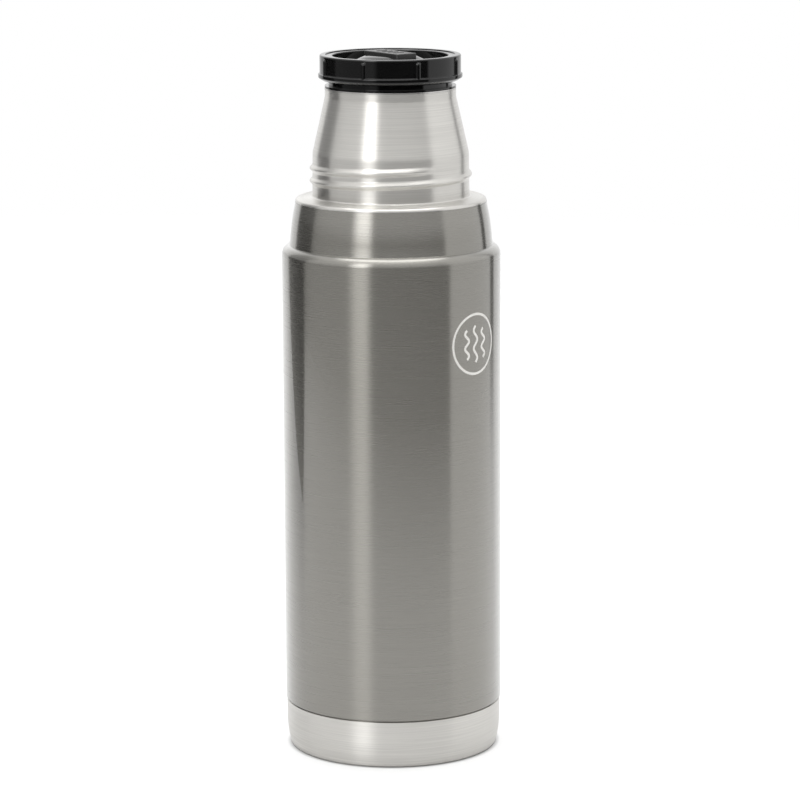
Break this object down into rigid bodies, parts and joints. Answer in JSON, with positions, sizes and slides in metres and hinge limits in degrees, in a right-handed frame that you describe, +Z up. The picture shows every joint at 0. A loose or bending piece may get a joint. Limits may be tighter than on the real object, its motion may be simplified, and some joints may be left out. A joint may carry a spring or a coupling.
{
  "type": "vacuum flask",
  "caption": "Slim vacuum flask with a coated straight body, coned shoulder, bare threaded neck and a screw-in pouring stopper with a ribbed grip ring.",
  "frame": {"origin": "middle of the base, on the surface that the flask stands on", "axes": "+Z up along the flask's axis, -Y the front with the round emblem, +X to the right seen from the front"},
  "size_m": [0.09, 0.09, 0.2899],
  "materials": {
    "coated_steel": "brushed steel under a clear dark grey coat",
    "bare_steel": "fine brushing around the axis",
    "inner_steel": "satin",
    "foil": "bright foil",
    "getter": "matt, pressed powder",
    "solder_glass": "dark glass",
    "foam_pad": "matt foam",
    "black_plastic": "polished mould finish",
    "insulating_foam": "cut foam",
    "silicone": "translucent silicone"
  },
  "bodies": {
    "flask": {"base_cap": "bare_steel", "base_pad": "foam_pad", "body_shell": "coated_steel", "neck_shell": "bare_steel", "outer_bottom": "inner_steel", "sealing_glass": "solder_glass", "getter_clip": "inner_steel", "getter_pellet": "getter", "foil_wrap": "foil", "liner_bottom": "inner_steel", "liner_tube": "inner_steel", "liner_neck": "inner_steel"},
    "stopper_seal": {"seal_ring": "silicone"},
    "stopper": {"stopper_shell": "black_plastic", "stopper_foam": "insulating_foam", "seal_retainer": "black_plastic", "grip_cap": "black_plastic"}
  },
  "joints": [
    {"name": "stopper_lift", "type": "slide", "parent": "flask", "child": "stopper_seal", "axis": [0, 0, 1], "range_m": [0, 0.0301]},
    {"name": "stopper_twist", "type": "hinge", "parent": "stopper_seal", "child": "stopper", "pos_m": [0, 0, 0.2754], "axis": [0, 0, 1], "range_deg": [0, 1080]}
  ],
  "couplings": [
    {"joint": "stopper_lift", "follows": "stopper_twist", "m_per_rad": 0.0015915}
  ]
}
